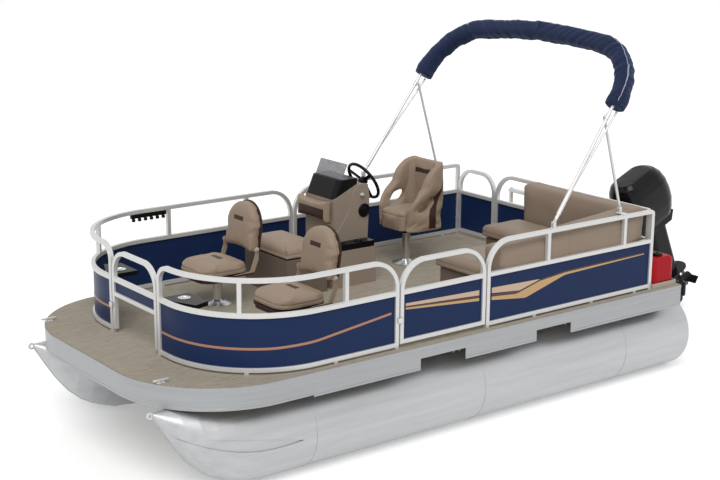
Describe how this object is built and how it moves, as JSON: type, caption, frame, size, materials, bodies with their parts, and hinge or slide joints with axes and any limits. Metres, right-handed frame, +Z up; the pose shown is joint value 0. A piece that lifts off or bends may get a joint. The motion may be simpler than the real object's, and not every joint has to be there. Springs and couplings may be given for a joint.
{
  "type": "pontoon boat",
  "caption": "Flat-decked leisure boat on two round tubes, with fenced deck, gates, seats, helm console, folding canopy frame, boarding ladder and tilting outboard motor.",
  "frame": {"origin": "midpoint of the overall length and beam, on the ground under the tubes", "axes": "+X to the bow, +Y to port, +Z up"},
  "size_m": [6.2934, 2.44, 2.7999],
  "materials": {
    "tube_aluminium": "brushed",
    "rail_aluminium": "anodised satin",
    "deck_vinyl": "woven",
    "panel_blue": "gloss",
    "seat_tan": "soft vinyl",
    "seat_shell": "satin",
    "moulding_tan": "satin",
    "black_plastic": "satin",
    "smoked_screen": "gloss",
    "canopy_blue": "woven",
    "fuel_red": "satin",
    "steel": "brushed",
    "engine_black": "gloss",
    "engine_iron": "rough"
  },
  "bodies": {
    "hull": {"deck_board": "deck_vinyl", "deck_rails": "rail_aluminium", "pontoons": "tube_aluminium", "tube_brackets": "tube_aluminium", "cross_channels": "tube_aluminium", "bow_fence_port": "rail_aluminium", "bow_fence_starboard": "rail_aluminium", "aft_fence_port": "rail_aluminium", "aft_fence_starboard": "rail_aluminium", "stern_fence": "rail_aluminium", "fence_panels": "panel_blue", "gate_latches": "steel", "seat_pedestals": "rail_aluminium", "console": "moulding_tan", "dash_hood": "black_plastic", "windscreen": "smoked_screen", "cup_tray": "black_plastic", "bench_back_pad": "seat_tan", "bench_box": "seat_shell", "lounge_base": "seat_shell", "lounge_cushions": "seat_tan", "lounge_backs": "seat_tan", "rail_trays": "moulding_tan", "fuel_tray": "moulding_tan", "fuel_tank": "fuel_red", "corner_caps": "black_plastic", "mooring_cleats": "rail_aluminium", "ladder_bracket": "tube_aluminium", "motor_pod": "tube_aluminium", "transom_board": "tube_aluminium", "drive_clamp": "engine_black", "canopy_mounts": "rail_aluminium"},
    "bow_gate": {"bow_gate": "rail_aluminium", "bow_gate_panel": "panel_blue"},
    "side_gate": {"side_gate": "rail_aluminium", "side_gate_panel": "panel_blue"},
    "stern_gate": {"stern_gate": "rail_aluminium", "stern_gate_panel": "panel_blue"},
    "bow_seat_port": {"bow_seat_base_port": "black_plastic", "bow_seat_cushion_port": "seat_tan"},
    "bow_seat_back_port": {"bow_seat_back_port": "seat_tan"},
    "bow_seat_starboard": {"bow_seat_base_starboard": "black_plastic", "bow_seat_cushion_starboard": "seat_tan"},
    "bow_seat_back_starboard": {"bow_seat_back_starboard": "seat_tan"},
    "helm_seat": {"helm_seat_base": "black_plastic", "helm_seat_cushion": "seat_tan", "helm_seat_back": "seat_tan"},
    "bench_lid": {"bench_lid": "seat_tan"},
    "steering_wheel": {"steering_wheel": "black_plastic"},
    "drive_swivel": {"drive_swivel": "engine_black"},
    "outboard": {"drive_leg": "engine_black", "drive_cover": "engine_black", "engine_block": "engine_iron"},
    "propeller": {"propeller": "engine_black"},
    "canopy": {"canopy_bow": "rail_aluminium", "canopy_boot": "canopy_blue"},
    "canopy_brace_port": {"canopy_brace_port": "rail_aluminium"},
    "canopy_brace_starboard": {"canopy_brace_starboard": "rail_aluminium"},
    "boarding_ladder": {"boarding_ladder": "rail_aluminium"}
  },
  "joints": [
    {"name": "bow_gate_swing", "type": "hinge", "parent": "hull", "child": "bow_gate", "pos_m": [2.7137, 0.318, 0.936], "axis": [0, 0, -1], "range_deg": [0, 90]},
    {"name": "side_gate_swing", "type": "hinge", "parent": "hull", "child": "side_gate", "pos_m": [0.54055, 1.139, 0.936], "axis": [0, 0, -1], "range_deg": [0, 90]},
    {"name": "stern_gate_swing", "type": "hinge", "parent": "hull", "child": "stern_gate", "pos_m": [-1.1863, -1.135, 0.936], "axis": [0, 0, -1], "range_deg": [0, 90]},
    {"name": "bow_seat_port_swivel", "type": "hinge", "parent": "hull", "child": "bow_seat_port", "pos_m": [1.76675, 0.5, 1.021], "axis": [0, 0, 1], "continuous": true},
    {"name": "bow_seat_port_fold", "type": "hinge", "parent": "bow_seat_port", "child": "bow_seat_back_port", "pos_m": [1.55175, 0.5, 1.194], "axis": [0, 1, 0], "range_deg": [0, 98]},
    {"name": "bow_seat_starboard_swivel", "type": "hinge", "parent": "hull", "child": "bow_seat_starboard", "pos_m": [1.76675, -0.5, 1.021], "axis": [0, 0, 1], "continuous": true},
    {"name": "bow_seat_starboard_fold", "type": "hinge", "parent": "bow_seat_starboard", "child": "bow_seat_back_starboard", "pos_m": [1.55175, -0.5, 1.194], "axis": [0, 1, 0], "range_deg": [0, 98]},
    {"name": "helm_seat_swivel", "type": "hinge", "parent": "hull", "child": "helm_seat", "pos_m": [-0.15618, -0.6, 1.066], "axis": [0, 0, 1], "continuous": true},
    {"name": "bench_lid_lift", "type": "hinge", "parent": "hull", "child": "bench_lid", "pos_m": [0.89083, -0.575, 1.0763], "axis": [0, -1, 0], "range_deg": [0, 60]},
    {"name": "steering_wheel_turn", "type": "hinge", "parent": "hull", "child": "steering_wheel", "pos_m": [0.33183, -0.56, 1.546], "axis": [-0.866, 0, 0.5], "range_deg": [-600, 600]},
    {"name": "outboard_tilt", "type": "hinge", "parent": "hull", "child": "drive_swivel", "pos_m": [-2.3383, 0, 0.755], "axis": [0, 1, 0], "range_deg": [-24, 45]},
    {"name": "outboard_steer", "type": "hinge", "parent": "drive_swivel", "child": "outboard", "pos_m": [-2.42509, 0, 0.79364], "axis": [0.4067, 0, 0.9135], "range_deg": [-30, 30]},
    {"name": "propeller_spin", "type": "hinge", "parent": "outboard", "child": "propeller", "pos_m": [-3.03457, 0, 0.29875], "axis": [-0.9135, 0, 0.4067], "continuous": true},
    {"name": "canopy_swing", "type": "hinge", "parent": "hull", "child": "canopy", "pos_m": [-0.12312, 0, 1.46], "axis": [0, -1, 0], "range_deg": [-50, 43]},
    {"name": "canopy_brace_port_swing", "type": "hinge", "parent": "hull", "child": "canopy_brace_port", "pos_m": [-0.89322, 1.09501, 1.46], "axis": [0, 1, 0], "range_deg": [0, 65]},
    {"name": "canopy_brace_starboard_swing", "type": "hinge", "parent": "hull", "child": "canopy_brace_starboard", "pos_m": [-0.89322, -1.09501, 1.46], "axis": [0, 1, 0], "range_deg": [0, 65]},
    {"name": "boarding_ladder_fold", "type": "hinge", "parent": "hull", "child": "boarding_ladder", "pos_m": [-1.7533, -0.889, 0.716], "axis": [0, -1, 0], "range_deg": [0, 180]}
  ],
  "couplings": [
    {"joint": "steering_wheel_turn", "follows": "outboard_steer", "ratio": -20}
  ]
}
